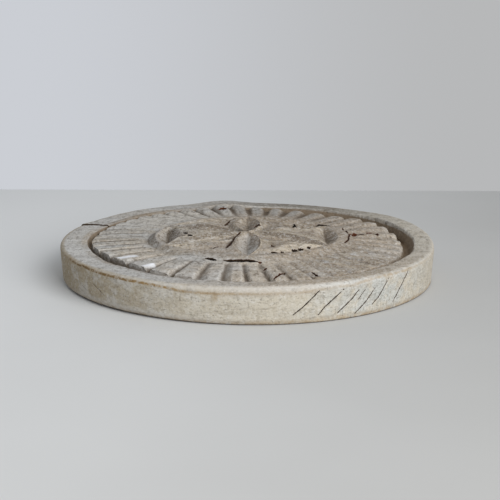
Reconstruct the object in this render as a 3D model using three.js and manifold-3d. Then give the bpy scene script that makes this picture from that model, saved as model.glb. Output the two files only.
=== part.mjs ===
// A round carved chapati board: two wooden staves pegged edge to edge along the grain.
// The top has a plain rim, a moat, a ring of V-cut rays and a low domed medallion with a six-petalled rosette.
// Millimetres, +Z up. The origin is the centre of the flat underside, and the grain runs along X.
import * as THREE from 'three';
import { mergeVertices } from 'three/addons/utils/BufferGeometryUtils.js';
import Module from 'manifold-3d';

// Overall size: the rim's top is the level that the carving is measured from
const BOARD_DIAMETER = 250;
const RIM_HEIGHT = 24;

// Rim and outer edge
const RIM_WIDTH = 14;
const EDGE_DRAFT = 2;
const TOP_ROUND = 3.5;
const BOTTOM_ROUND = 3;
const RIM_INNER_ROUND = 1.5;

// Moat between the rim and the carved panel, with sloping walls
const MOAT_WIDTH = 7;
const MOAT_DEPTH = 7;
const MOAT_RIM_SLOPE = 2.5;
const MOAT_PANEL_SLOPE = 1.5;

// Ring of rays, which falls towards the moat
const RAY_COUNT = 44;
const RAY_LENGTH = 33;
const RAY_INNER_RISE = 0.8;
const RAY_OUTER_DROP = 1.2;
const RAY_RIDGE_WIDTH = 0.6;
const RAY_FACET_SLOPE = 0.44;

// Groove between the rays and the medallion
const GROOVE_WIDTH = 9;
const GROOVE_DEPTH = 1.2;

// Medallion, and its rosette of V-cut petals
const MEDALLION_EDGE_RISE = 3;
const MEDALLION_HUB_RISE = 5.5;
const ROSETTE_MARGIN = 4;
const PETAL_COUNT = 6;
const PETAL_FACET_SLOPE = 0.52;
const PETAL_TIP_MARGIN = 2;

// Joint between the staves, behind the centre, which has opened at its left end
const JOINT_OFFSET = 41;
const JOINT_GAP = 0.3;
const SPLIT_LENGTH = 34;
const SPLIT_OPENING = 1.4;

// Pegs across the joint
const PEG_DIAMETER = 8;
const PEG_LENGTH = 50;
const PEG_END_CHAMFER = 1;
const PEG_CLEARANCE = 0.2;
const PEG_FROM_JOINT_END = 48;

// Fineness of the facets, and how far a cutting shape reaches past the wood that it cuts
const SEGMENTS_PER_RAY = 2;
const ARC_STEPS = 3;
const DOME_STEPS = 4;
const PETAL_STEPS = 8;
const PEG_SIDES = 12;
const CUT_REACH = 2;

const radius = BOARD_DIAMETER / 2;
const rimInnerRadius = radius - RIM_WIDTH;
const panelRadius = rimInnerRadius - MOAT_WIDTH;
const rayInnerRadius = panelRadius - RAY_LENGTH;
const medallionRadius = rayInnerRadius - GROOVE_WIDTH;
const rosetteRadius = medallionRadius - ROSETTE_MARGIN;

const moatHeight = RIM_HEIGHT - MOAT_DEPTH;
const rayInnerHeight = RIM_HEIGHT + RAY_INNER_RISE;
const rayOuterHeight = RIM_HEIGHT - RAY_OUTER_DROP;
const medallionEdgeHeight = RIM_HEIGHT + MEDALLION_EDGE_RISE;
const hubHeight = RIM_HEIGHT + MEDALLION_HUB_RISE;

const jointHalfLength = Math.sqrt(radius ** 2 - JOINT_OFFSET ** 2);
const pegSpacing = jointHalfLength - PEG_FROM_JOINT_END;
const pegHeight = moatHeight / 2;

const wasm = await Module();
wasm.setup();

function toSolid(geometry) {
  const bare = geometry.clone();
  bare.deleteAttribute('normal');
  bare.deleteAttribute('uv');
  const welded = mergeVertices(bare);
  return new wasm.Manifold(new wasm.Mesh({
    numProp: 3,
    vertProperties: new Float32Array(welded.attributes.position.array),
    triVerts: new Uint32Array(welded.index.array),
  }));
}

function toGeometry(solid) {
  const { vertProperties, triVerts } = solid.getMesh();
  const geometry = new THREE.BufferGeometry();
  geometry.setAttribute('position', new THREE.BufferAttribute(vertProperties, 3));
  geometry.setIndex(new THREE.BufferAttribute(triVerts, 1));
  return geometry;
}

// Height of the medallion's dome at a distance from its hub
function domeHeight(distance) {
  const share = distance / medallionRadius;
  return hubHeight - (hubHeight - medallionEdgeHeight) * share ** 2;
}

// Half of the board's section, from the middle of the underside round the edge to the hub
function boardSection() {
  const bottomRadius = radius - EDGE_DRAFT;
  const path = new THREE.Path();
  path.moveTo(0, 0);
  path.lineTo(bottomRadius - BOTTOM_ROUND, 0);
  path.quadraticCurveTo(bottomRadius, 0, bottomRadius, BOTTOM_ROUND);
  path.lineTo(radius, RIM_HEIGHT - TOP_ROUND);
  path.quadraticCurveTo(radius, RIM_HEIGHT, radius - TOP_ROUND, RIM_HEIGHT);
  path.lineTo(rimInnerRadius + RIM_INNER_ROUND, RIM_HEIGHT);
  path.quadraticCurveTo(rimInnerRadius, RIM_HEIGHT, rimInnerRadius, RIM_HEIGHT - RIM_INNER_ROUND);
  path.lineTo(rimInnerRadius - MOAT_RIM_SLOPE, moatHeight);
  path.lineTo(panelRadius + MOAT_PANEL_SLOPE, moatHeight);
  path.lineTo(panelRadius, rayOuterHeight);
  path.lineTo(rayInnerRadius, rayInnerHeight);
  path.lineTo(medallionRadius + GROOVE_WIDTH / 2, rayInnerHeight - GROOVE_DEPTH);
  for (let step = DOME_STEPS; step >= 0; step -= 1) {
    const distance = medallionRadius * step / DOME_STEPS;
    path.lineTo(distance, domeHeight(distance));
  }
  return path.getPoints(ARC_STEPS);
}

// A V-shaped cutting tool along a row of stations. Each station has the point where the V's middle meets the
// surface and half of the V's width there, and slope is the fall of the V's facets.
function vCut(stations, slope) {
  const along = stations.at(-1).point.clone().sub(stations[0].point).setZ(0).normalize();
  const left = new THREE.Vector3(-along.y, along.x, 0);
  const positions = [];
  const faces = [];
  stations.forEach(({ point, halfWidth }, index) => {
    const topHalfWidth = halfWidth + CUT_REACH / slope;
    const top = point.clone().setZ(point.z + CUT_REACH);
    const bottom = point.clone().setZ(point.z - halfWidth * slope);
    top.clone().addScaledVector(left, topHalfWidth).toArray(positions, positions.length);
    top.clone().addScaledVector(left, -topHalfWidth).toArray(positions, positions.length);
    bottom.toArray(positions, positions.length);
    if (index > 0) {
      const [l0, r0, b0, l1, r1, b1] = [-3, -2, -1, 0, 1, 2].map((offset) => 3 * index + offset);
      faces.push(l0, r0, r1, l0, r1, l1);
      faces.push(l0, l1, b1, l0, b1, b0);
      faces.push(r0, b0, b1, r0, b1, r1);
    }
  });
  const last = 3 * (stations.length - 1);
  faces.push(0, 2, 1);
  faces.push(last, last + 1, last + 2);
  const geometry = new THREE.BufferGeometry();
  geometry.setAttribute('position', new THREE.Float32BufferAttribute(positions, 3));
  geometry.setIndex(faces);
  return toSolid(geometry);
}

function atAngle(distance, angle, height) {
  return new THREE.Vector3(distance * Math.cos(angle), distance * Math.sin(angle), height);
}

// One valley between two rays, which runs out into the moat
function rayCut(index) {
  const angle = 2 * Math.PI * index / RAY_COUNT;
  const fall = (rayOuterHeight - rayInnerHeight) / RAY_LENGTH;
  const stations = [rayInnerRadius, panelRadius + MOAT_PANEL_SLOPE].map((distance) => ({
    point: atAngle(distance, angle, rayInnerHeight + fall * (distance - rayInnerRadius)),
    halfWidth: Math.PI * distance / RAY_COUNT - RAY_RIDGE_WIDTH / 2,
  }));
  return vCut(stations, RAY_FACET_SLOPE);
}

// One petal: a lens between two compass points of the rosette, bounded by two arcs of the rosette's own radius
function petalCut(from, to) {
  const length = from.distanceTo(to);
  const arcCentre = Math.sqrt(rosetteRadius ** 2 - (length / 2) ** 2);
  const stations = [];
  for (let step = 0; step <= PETAL_STEPS; step += 1) {
    const share = PETAL_TIP_MARGIN / length + (1 - 2 * PETAL_TIP_MARGIN / length) * step / PETAL_STEPS;
    const point = from.clone().lerp(to, share);
    point.z = domeHeight(Math.hypot(point.x, point.y));
    const halfWidth = Math.sqrt(rosetteRadius ** 2 - (length * (share - 0.5)) ** 2) - arcCentre;
    stations.push({ point, halfWidth });
  }
  return vCut(stations, PETAL_FACET_SLOPE);
}

function carvedBoard() {
  const lathe = new THREE.LatheGeometry(boardSection(), RAY_COUNT * SEGMENTS_PER_RAY);
  let board = toSolid(lathe.rotateX(Math.PI / 2));
  for (let index = 0; index < RAY_COUNT; index += 1) {
    board = board.subtract(rayCut(index));
  }
  const hub = new THREE.Vector3();
  const tip = (index) => atAngle(rosetteRadius, Math.PI / 2 + 2 * Math.PI * index / PETAL_COUNT, 0);
  for (let index = 0; index < PETAL_COUNT; index += 1) {
    board = board.subtract(petalCut(hub, tip(index)));
    board = board.subtract(petalCut(tip(index), tip(index + 1)));
  }
  return board;
}

// The block of space that a stave is cut from, as an outline seen from above
function staveSpace(outline) {
  const shape = new THREE.Shape(outline.map(([x, y]) => new THREE.Vector2(x, y)));
  const depth = hubHeight + 2 * CUT_REACH;
  const geometry = new THREE.ExtrudeGeometry(shape, { depth, bevelEnabled: false });
  return toSolid(geometry.translate(0, 0, -CUT_REACH));
}

function frontSpace() {
  const side = radius + CUT_REACH;
  const edge = JOINT_OFFSET - JOINT_GAP / 2;
  return staveSpace([[-side, -side], [side, -side], [side, edge], [-side, edge]]);
}

// The rear stave's edge turns away from the joint over the length of the split
function rearSpace() {
  const side = radius + CUT_REACH;
  const edge = JOINT_OFFSET + JOINT_GAP / 2;
  const splitStart = SPLIT_LENGTH - jointHalfLength;
  const splitEdge = edge + SPLIT_OPENING * (side + splitStart) / SPLIT_LENGTH;
  return staveSpace([[splitStart, edge], [side, edge], [side, side], [-side, side], [-side, splitEdge]]);
}

const pegPlaces = {
  peg_left: new THREE.Vector3(-pegSpacing, JOINT_OFFSET, pegHeight),
  peg_middle: new THREE.Vector3(0, JOINT_OFFSET, pegHeight),
  peg_right: new THREE.Vector3(pegSpacing, JOINT_OFFSET, pegHeight),
};

function pegHole({ x, y, z }) {
  const holeRadius = PEG_DIAMETER / 2 + PEG_CLEARANCE;
  const holeLength = PEG_LENGTH + 2 * PEG_CLEARANCE;
  const geometry = new THREE.CylinderGeometry(holeRadius, holeRadius, holeLength, PEG_SIDES);
  return toSolid(geometry.translate(x, y, z));
}

function pegGeometry() {
  const end = PEG_LENGTH / 2;
  const side = PEG_DIAMETER / 2;
  const section = [
    [0, -end],
    [side - PEG_END_CHAMFER, -end],
    [side, PEG_END_CHAMFER - end],
    [side, end - PEG_END_CHAMFER],
    [side - PEG_END_CHAMFER, end],
    [0, end],
  ].map(([x, y]) => new THREE.Vector2(x, y));
  return new THREE.LatheGeometry(section, PEG_SIDES);
}

function stave(name, board, space, material) {
  let solid = board.intersect(space);
  for (const place of Object.values(pegPlaces)) {
    solid = solid.subtract(pegHole(place));
  }
  const mesh = new THREE.Mesh(toGeometry(solid), material);
  mesh.name = name;
  return mesh;
}

const bleachedWood = new THREE.MeshStandardMaterial({ color: 0xb3aa9b, roughness: 0.85, metalness: 0 });
const pegWood = new THREE.MeshStandardMaterial({ color: 0x9a8468, roughness: 0.8, metalness: 0 });

const chapatiBoard = new THREE.Group();
const board = carvedBoard();
chapatiBoard.add(stave('front_stave', board, frontSpace(), bleachedWood));
chapatiBoard.add(stave('rear_stave', board, rearSpace(), bleachedWood));
for (const [name, place] of Object.entries(pegPlaces)) {
  const peg = new THREE.Mesh(pegGeometry(), pegWood);
  peg.name = name;
  peg.position.copy(place);
  chapatiBoard.add(peg);
}

export default chapatiBoard;
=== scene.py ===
# %% [markdown]
# # A carved chapati board
#
# Chapatis are rolled out on a round wooden board like this one. It is old: the wood has dried to a pale grey,
# its joint has opened at one end, and beetles have been in it. The lesson follows the woodworker. First a round
# blank is turned, then the rays and the rosette are cut into it, then years of drying and use are added, and at
# the end the blank is parted into the two staves that it was once pegged together from.
#
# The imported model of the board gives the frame: its sizes, its origin and the names of its pieces.

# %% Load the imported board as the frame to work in
import math
from functools import partialmethod

import bmesh
import bpy
import numpy as np
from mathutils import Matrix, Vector, noise


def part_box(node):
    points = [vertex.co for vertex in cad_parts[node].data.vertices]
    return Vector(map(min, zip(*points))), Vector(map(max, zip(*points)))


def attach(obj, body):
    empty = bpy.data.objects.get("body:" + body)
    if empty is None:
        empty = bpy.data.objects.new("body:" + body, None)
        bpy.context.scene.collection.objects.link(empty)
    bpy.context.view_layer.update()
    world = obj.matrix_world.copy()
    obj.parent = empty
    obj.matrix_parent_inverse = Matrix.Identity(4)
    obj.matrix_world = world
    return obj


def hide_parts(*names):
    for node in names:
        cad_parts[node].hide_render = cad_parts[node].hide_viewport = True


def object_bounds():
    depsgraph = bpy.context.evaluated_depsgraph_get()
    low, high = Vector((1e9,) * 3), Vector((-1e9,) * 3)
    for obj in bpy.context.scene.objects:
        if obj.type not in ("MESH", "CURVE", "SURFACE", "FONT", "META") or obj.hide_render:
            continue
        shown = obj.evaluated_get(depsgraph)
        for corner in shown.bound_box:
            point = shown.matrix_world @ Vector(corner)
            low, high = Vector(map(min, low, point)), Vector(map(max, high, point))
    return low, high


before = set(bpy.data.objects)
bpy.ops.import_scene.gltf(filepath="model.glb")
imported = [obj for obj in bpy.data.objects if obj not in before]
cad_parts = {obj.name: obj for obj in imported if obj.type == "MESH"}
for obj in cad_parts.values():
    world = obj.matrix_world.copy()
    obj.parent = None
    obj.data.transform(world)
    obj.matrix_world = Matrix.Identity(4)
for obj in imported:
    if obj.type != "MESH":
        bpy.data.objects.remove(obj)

cad_low, cad_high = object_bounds()
MM = 0.001
BOARD_RADIUS = cad_high.x
HUB_HEIGHT = cad_high.z
print(f"board: {2 * BOARD_RADIUS / MM:.0f} mm across, {HUB_HEIGHT / MM:.1f} mm high at the hub")

# %% [markdown]
# ## Small helpers for hand work
#
# Nothing on a hand-made board is quite even. Three small functions describe that: a soft step, a soft hill at one
# bearing round the board, and a wandering line whose two ends meet after a full turn. Bearings are in degrees,
# with 0 to the right, 90 to the back and -90 to the front.

# %% Soft steps, hills and wandering lines
STEPS_AROUND = 616
angles = np.arange(STEPS_AROUND) * 2 * np.pi / STEPS_AROUND
bearings = np.degrees(angles)


def ease(low, high, value):
    """A soft step from 0 at low to 1 at high."""
    share = np.clip((value - low) / (high - low), 0, 1)
    return share * share * (3 - 2 * share)


def near(middle, reach):
    """A soft hill round the board: 1 at one bearing and 0 from reach degrees away."""
    away = np.abs((bearings - middle + 180) % 360 - 180)
    return ease(reach, 0, away)


def waver(seed, waves):
    """A wandering line round the board, from 0 to 1, made of whole waves."""
    random = np.random.default_rng(seed)
    line = 0
    for wave in waves:
        line = line + random.normal() / wave * np.cos(wave * angles + random.uniform(0, 2 * np.pi))
    return (line - line.min()) / np.ptp(line)


print(f"one step round is {360 / STEPS_AROUND:.2f} degrees")

# %% [markdown]
# ## The turned blank
#
# A turner makes the blank by moving a tool along its section while the wood spins. The script does the same: it
# walks along the section from the hub, over the medallion, the groove, the panel for the rays, the moat and the
# rim, down the side and back under the board, and leaves a ring of points at each step. The places may differ
# round the board, so the rim can be wider on the left and the panel can lie a little tilted, as they do on the
# real board. Fewer points go round near the centre, where the faces would become slivers.

# %% The section of the blank
RIM_HEIGHT = 24 * MM
RIM_WIDTH = 14 * MM
EDGE_DRAFT = 1.2 * MM
BOTTOM_ROUND = 1.5 * MM
RIM_INNER_ROUND = 1.5 * MM
MOAT_WIDTH = 7 * MM
MOAT_DEPTH = 7 * MM
MOAT_RIM_SLOPE = 2.5 * MM
MOAT_PANEL_SLOPE = 1.5 * MM
PANEL_RADIUS = BOARD_RADIUS - RIM_WIDTH - MOAT_WIDTH
RAY_LENGTH = 33 * MM
RAY_INNER_RADIUS = PANEL_RADIUS - RAY_LENGTH
RAY_INNER_RISE = 0.8 * MM
RAY_OUTER_DROP = 1.2 * MM
PANEL_TILT = 1.3 * MM
GROOVE_WIDTH = 9 * MM
GROOVE_DEPTH = 0.15 * MM
MEDALLION_RADIUS = RAY_INNER_RADIUS - GROOVE_WIDTH
MEDALLION_EDGE_RISE = 3 * MM
TOP_ROUND = 2.4 * MM
WIDE_RIM_EXTRA = 5 * MM
OUTLINE_WANDER = 0.25 * MM
RIM_WANDER = 0.5 * MM
print(f"rays from {RAY_INNER_RADIUS / MM:.0f} to {PANEL_RADIUS / MM:.0f} mm from the centre")

# %% What differs round the board
# Soft hills: the height of each, the bearing of its middle and its reach
RIM_HILLS = ((1.2 * MM, 95, 120), (1.8 * MM, 99, 14), (2.2 * MM, 22, 40))
PANEL_HILLS = ((3.2 * MM, 95, 75), (2 * MM, 98, 15), (4 * MM, 27, 32), (2.6 * MM, -143, 42))
GROOVE_HILLS = ((2.4 * MM, 182, 62), (0.9 * MM, 130, 70))
WIDE_RIM_HILLS = ((1, 200, 88), (1, 125, 62))
TOP_ROUND_HILLS = ((1.8 * MM, -72, 78),)
BOTTOM_ROUND_HILLS = ((4.6 * MM, -130, 70),)


def hills(parts):
    """Adds up soft hills round the board."""
    return sum(height * near(middle, reach) for height, middle, reach in parts)


outer = BOARD_RADIUS - OUTLINE_WANDER * waver(seed=3, waves=range(3, 10))
rim_top = RIM_HEIGHT - RIM_WANDER * waver(seed=4, waves=range(3, 14)) + hills(RIM_HILLS)
top_round = TOP_ROUND + hills(TOP_ROUND_HILLS)
rim_inner = BOARD_RADIUS - RIM_WIDTH - WIDE_RIM_EXTRA * np.minimum(1, hills(WIDE_RIM_HILLS))
moat_share = (rim_inner - PANEL_RADIUS) / MOAT_WIDTH
moat_floor = RIM_HEIGHT - MOAT_DEPTH * np.sqrt(moat_share)
panel_edge = RIM_HEIGHT - RAY_OUTER_DROP - PANEL_TILT * np.cos(angles) + hills(PANEL_HILLS)
panel_inside = RIM_HEIGHT + RAY_INNER_RISE
groove_depth = GROOVE_DEPTH + hills(GROOVE_HILLS)
groove_floor = (RIM_HEIGHT + MEDALLION_EDGE_RISE + panel_inside) / 2 - groove_depth
side_foot = outer - EDGE_DRAFT
bottom_round = BOTTOM_ROUND + hills(BOTTOM_ROUND_HILLS)
print(f"rim {(outer - rim_inner).min() / MM:.1f} to {(outer - rim_inner).max() / MM:.1f} mm wide")

# %% Walk along the section and leave rings of points
RING_PITCH = 0.88 * MM
RIM_PITCH = 1.2 * MM
UNDERSIDE_PITCH = 12 * MM

rings = [(np.zeros(STEPS_AROUND), np.full(STEPS_AROUND, HUB_HEIGHT))]


def turn_to(radius, height, bend=None, pitch=RING_PITCH):
    """Adds rings up to a new radius and height, in a straight line or bent towards a corner."""
    start = rings[-1]
    end = (radius + np.zeros(STEPS_AROUND), height + np.zeros(STEPS_AROUND))
    length = np.hypot(*(np.mean(b - a) for a, b in zip(start, end)))
    steps = max(2, round(length / pitch))
    corner = bend or tuple((a + b) / 2 for a, b in zip(start, end))
    for share in np.arange(1, steps + 1) / steps:
        rings.append(tuple(
            (1 - share) ** 2 * a + 2 * share * (1 - share) * c + share ** 2 * b
            for a, c, b in zip(start, corner, end)
        ))


turn_to(MEDALLION_RADIUS, RIM_HEIGHT + MEDALLION_EDGE_RISE, bend=(MEDALLION_RADIUS / 2, HUB_HEIGHT))
turn_to(MEDALLION_RADIUS + GROOVE_WIDTH / 2, groove_floor)
turn_to(RAY_INNER_RADIUS, panel_inside)
turn_to(PANEL_RADIUS, panel_edge)
turn_to(PANEL_RADIUS + MOAT_PANEL_SLOPE * moat_share, moat_floor)
turn_to(rim_inner - MOAT_RIM_SLOPE * moat_share, moat_floor)
turn_to(rim_inner, rim_top - RIM_INNER_ROUND)
turn_to(rim_inner + RIM_INNER_ROUND, rim_top, bend=(rim_inner, rim_top))
turn_to(outer - top_round, rim_top, pitch=RIM_PITCH)
turn_to(outer, rim_top - top_round, bend=(outer, rim_top))
turn_to(side_foot, bottom_round, pitch=RIM_PITCH)
turn_to(side_foot - bottom_round, 0, bend=(side_foot, 0 * side_foot))
turn_to(0, 0, pitch=UNDERSIDE_PITCH)
print(f"{len(rings)} rings")

# %% Join the rings by faces
FEWER_POINTS = ((12 * MM, 4), (30 * MM, 2))


def points_skipped(radius):
    """How many steps round are taken at once in a ring of this radius."""
    for limit, skip in FEWER_POINTS:
        if radius < limit:
            return skip
    return 1


def band(inner, outer):
    """Faces between two rings of point numbers, of which one may have more points."""
    count = max(len(inner), len(outer))
    for step in range(count):
        a0, a1 = (inner[k * len(inner) // count % len(inner)] for k in (step, step + 1))
        b0, b1 = (outer[k * len(outer) // count % len(outer)] for k in (step, step + 1))
        yield list(dict.fromkeys((a0, b0, b1, a1)))


points = []
faces = []
panel_levels = []
last_ring = []
for radius, height in rings:
    panel_level = panel_inside + (panel_edge - panel_inside) * (radius - RAY_INNER_RADIUS) / RAY_LENGTH
    picked = slice(0, 1) if radius.max() == 0 else slice(0, None, points_skipped(radius.mean()))
    ring = np.stack([radius * np.cos(angles), radius * np.sin(angles), height], axis=1)[picked]
    numbers = list(range(len(points), len(points) + len(ring)))
    points.extend(ring.tolist())
    panel_levels.extend(panel_level[picked].tolist())
    if last_ring:
        faces.extend(band(last_ring, numbers))
    last_ring = numbers
print(f"{len(points)} points, {len(faces)} faces")

# %% Make the blank
def add_object(name, data):
    """Puts a new object into the scene."""
    made = bpy.data.objects.new(name, data)
    bpy.context.scene.collection.objects.link(made)
    return made


def store(mesh, name, values):
    """Keeps one number for each point of a mesh, under a name that nodes can read."""
    attribute = mesh.attributes.new(name, "FLOAT", "POINT")
    attribute.data.foreach_set("value", np.asarray(values, np.float32))


blank_mesh = bpy.data.meshes.new("blank")
blank_mesh.from_pydata(points, [], faces)
store(blank_mesh, "panel", panel_levels)
blank = add_object("blank", blank_mesh)
print(f"blank: {len(blank_mesh.edges)} edges, with the level of the panel stored")

# %% [markdown]
# ## Sums that become nodes
#
# The carving and the materials are node trees, and a tree of sums is easier to read when it looks like sums. A
# Field stands for a number that varies over the surface. Adding, multiplying or comparing fields adds the nodes
# that do it, in Geometry Nodes and in materials alike.

# %% A field of numbers, and helpers that add nodes
def add_node(tree, kind, inputs=(), **settings):
    """Adds a node, sets it up, and feeds its inputs with fields or plain values."""
    node = tree.nodes.new(kind)
    for name, value in settings.items():
        setattr(node, name, value)
    for name, value in dict(inputs).items():
        if isinstance(value, Field):
            tree.links.new(value.socket, node.inputs[name])
        else:
            node.inputs[name].default_value = value
    return node


def new_field(tree, kind, inputs=(), output=0, **settings):
    """Adds a node and returns one of its outputs as a field."""
    return Field(tree, add_node(tree, kind, inputs, **settings).outputs[output])


class Field:
    """A socket of a node tree that can be used in sums."""

    def __init__(self, tree, socket):
        self.tree = tree
        self.socket = socket

    def math(self, operation, *others):
        return new_field(self.tree, "ShaderNodeMath", enumerate((self, *others)), operation=operation)

    def __rsub__(self, other):
        return self * -1 + other

    __add__ = __radd__ = partialmethod(math, "ADD")
    __sub__ = partialmethod(math, "SUBTRACT")
    __mul__ = __rmul__ = partialmethod(math, "MULTIPLY")
    __truediv__ = partialmethod(math, "DIVIDE")
    __pow__ = partialmethod(math, "POWER")
    size = partialmethod(math, "ABSOLUTE")
    at_least = partialmethod(math, "MAXIMUM")
    at_most = partialmethod(math, "MINIMUM")

    def ease(self, low, high):
        """A soft step from 0 at low to 1 at high. Where low is the larger one, it steps down."""
        inputs = {"Value": self, "From Min": low, "From Max": high}
        return new_field(self.tree, "ShaderNodeMapRange", inputs, interpolation_type="SMOOTHSTEP")


print("fields ready")

# %% Sums that are needed often
def hypotenuse(a, b):
    """The distance over two steps at right angles."""
    return (a * a + b * b).math("SQRT")


def split_vector(tree, vector):
    """The X, Y and Z of a vector."""
    node = add_node(tree, "ShaderNodeSeparateXYZ", {0: vector})
    return [Field(tree, output) for output in node.outputs]


def cloudy(tree, vector, scale=1.0, detail=2.0, roughness=0.5):
    """Smooth random clouds, from 0 to 1 with a middle of about 0.5."""
    inputs = {"Vector": vector, "Scale": scale, "Detail": detail, "Roughness": roughness}
    return new_field(tree, "ShaderNodeTexNoise", inputs)


def hill(angle, middle, reach):
    """A soft hill in a node tree: 1 at one bearing, in degrees, and 0 from reach degrees away."""
    away = (angle - math.radians(middle)).math("WRAP", math.pi, -math.pi).size()
    return away.ease(math.radians(reach), 0.0)


print("distances, clouds and hills ready")

# %% [markdown]
# ## Carving the rays and the rosette
#
# The rays were cut with a chisel, one valley after the other, all round the panel. Most rays are flat slabs with
# narrow valleys between them, and those at the back are rounded lobes. The rosette is the old compass rose: six
# circles of the rosette's own radius, stepped round its rim, bound six petals and six lenses, and each of these
# is cut as a V. Both follow a rule, so Geometry Nodes cuts them: for every point of the blank the tree works out
# how deep the chisel went there, and lowers the point. The sizes are the tree's inputs, so another board is one
# change away. For the dirt, the painted light and shade and the petal edges in the wood material, the tree also
# stores the depth of the cut, the valleys, the place across a ray and the distance from the edge of a petal.

# %% The sizes of the carving, as inputs of a tree
carving_sizes = {
    "Ray count": 44,
    "First valley": math.radians(-121.3),
    "Ray lean": 0.25,
    "Ray sway": math.radians(4.9),
    "Ray start": RAY_INNER_RADIUS,
    "Ray length": RAY_LENGTH,
    "Inner depth": 1.6 * MM,
    "Outer depth": 3.2 * MM,
    "End drop": 1.6 * MM,
    "Wall share": 0.16,
    "Worn share": 0.85,
    "Rosette radius": 58 * MM,
    "Rosette wander": 1.2 * MM,
    "Petal slope": 0.58,
    "Petal widening": 1.0 * MM,
    "Lens slope": 0.62,
    "Lens shift": 3.0 * MM,
    "Field length": 48 * MM,
    "Field depth": 2.8 * MM,
    "Field width": 12 * MM,
    "Field petal wall": 8 * MM,
    "Seed": 7.0,
}

carving = bpy.data.node_groups.new("carving", "GeometryNodeTree")
carving.interface.new_socket(name="Board", in_out="INPUT", socket_type="NodeSocketGeometry")
for name in carving_sizes:
    carving.interface.new_socket(name=name, in_out="INPUT", socket_type="NodeSocketFloat")
carving.interface.new_socket(name="Wood", in_out="INPUT", socket_type="NodeSocketMaterial")
carving.interface.new_socket(name="Board", in_out="OUTPUT", socket_type="NodeSocketGeometry")
carving_in = add_node(carving, "NodeGroupInput")
size = {name: Field(carving, carving_in.outputs[name]) for name in carving_sizes}
print(f"carving tree: {len(carving_sizes)} sizes")

# %% Cut the rays
SWAY_MIDDLE = math.radians(88)
MIDDLE_OF_BOARD = RIM_HEIGHT / 2
RAY_UNEVENNESS = 0.8 * MM
UNEVEN_MIDDLE = 0.3
UNEVEN_LEAST = 0.3
BLUNT_END = (0.78, 1.03)
CROWN_DROP = 0.4
BACK_LEFT_WEAR = 0.5
PANEL_FADE = (-0.4 * MM, 1.6 * MM)
# Where the rays differ: the bearing of the middle and the reach
RAY_ZONES = {
    "back": (82, 70), "front left": (-100, 13), "front right": (-80, 15), "right": (5, 50),
    "worn": (-46, 48), "back left": (140, 35), "left": (-143, 42),
}
# How much wider the walls are there, as a share of a ray
WIDER_WALLS = {"right": 0.2, "back": 0.3, "front left": 0.26, "front right": 0.22}

place = new_field(carving, "GeometryNodeInputPosition")
x, y, z = split_vector(carving, place)
distance = hypotenuse(x, y)
angle = y.math("ARCTAN2", x)
zone = {name: hill(angle, *where) for name, where in RAY_ZONES.items()}

# Where in its ray a point lies: 0 at the foot of the ray's wall, 1 at the foot of the next one
along = (distance - size["Ray start"]) / size["Ray length"]
sway = ((angle - SWAY_MIDDLE) * 2).math("COSINE") * size["Ray sway"]
turns = (angle - size["First valley"] - sway) * size["Ray count"] / (2 * math.pi) - along * size["Ray lean"]
in_ray = turns.math("FRACT")
ray_number = turns.math("FLOOR").math("FLOORED_MODULO", size["Ray count"])
chance = new_field(carving, "ShaderNodeTexWhiteNoise", {"W": ray_number + size["Seed"]}, noise_dimensions="1D")

# Across a ray: a flat crown between two walls, which are wider on the shaded and the lit side of the front, and
# rounded to lobes at the back, where a ray only sinks towards its outer end
back = zone["back"]
wider = {name: zone[name] * extra for name, extra in WIDER_WALLS.items()}
both_walls = size["Wall share"] + wider["right"] + wider["back"]
left_wall = both_walls + wider["front left"]
right_wall = both_walls + wider["front right"]
valley = (1 - in_ray / left_wall).at_least(1 - (1 - in_ray) / right_wall).at_least(0.0) ** (back + 1)
crispness = 1 - zone["worn"] * size["Worn share"] - zone["back left"] * BACK_LEFT_WEAR
inner_depth = size["Inner depth"] * (1 - back)
ray_depth = (inner_depth + (size["Outer depth"] - inner_depth) * along) * valley
ray_depth = (ray_depth + (chance - UNEVEN_MIDDLE) * RAY_UNEVENNESS * along.at_least(UNEVEN_LEAST)) * crispness
blunt_end = (valley + CROWN_DROP) * crispness * (1 - zone["left"])
ray_depth = ray_depth + along.ease(*BLUNT_END) ** 2.0 * size["End drop"] * blunt_end
panel = new_field(carving, "GeometryNodeInputNamedAttribute", {"Name": "panel"}, data_type="FLOAT")
on_panel = distance.ease(*(size["Ray start"] + offset for offset in PANEL_FADE))
inside_moat = distance.math("LESS_THAN", size["Ray start"] + size["Ray length"] + MOAT_PANEL_SLOPE)
on_top = z.math("GREATER_THAN", MIDDLE_OF_BOARD)
carved_panel = on_panel * inside_moat * on_top
ray_cut = (z - z.at_most(panel - ray_depth)) * carved_panel
print(f"rays: {len(carving.nodes)} nodes")

# %% Cut the rosette
SECTOR = math.radians(60)
SHAKE_SCALES = (47.0, 53.0)
WEAR_SCALE = 31.0
ROSE_WEAR_LEAST = 0.8
ROSE_WEAR_RANGE = 0.4
HUB_WIDENING = (2 * MM, 8 * MM)
SIDE_PETAL_EASE = 0.35
LENS_LEAST = 0.4
LEAST_FULLNESS = 0.001
LEAST_WALL = 0.01 * MM

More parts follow.
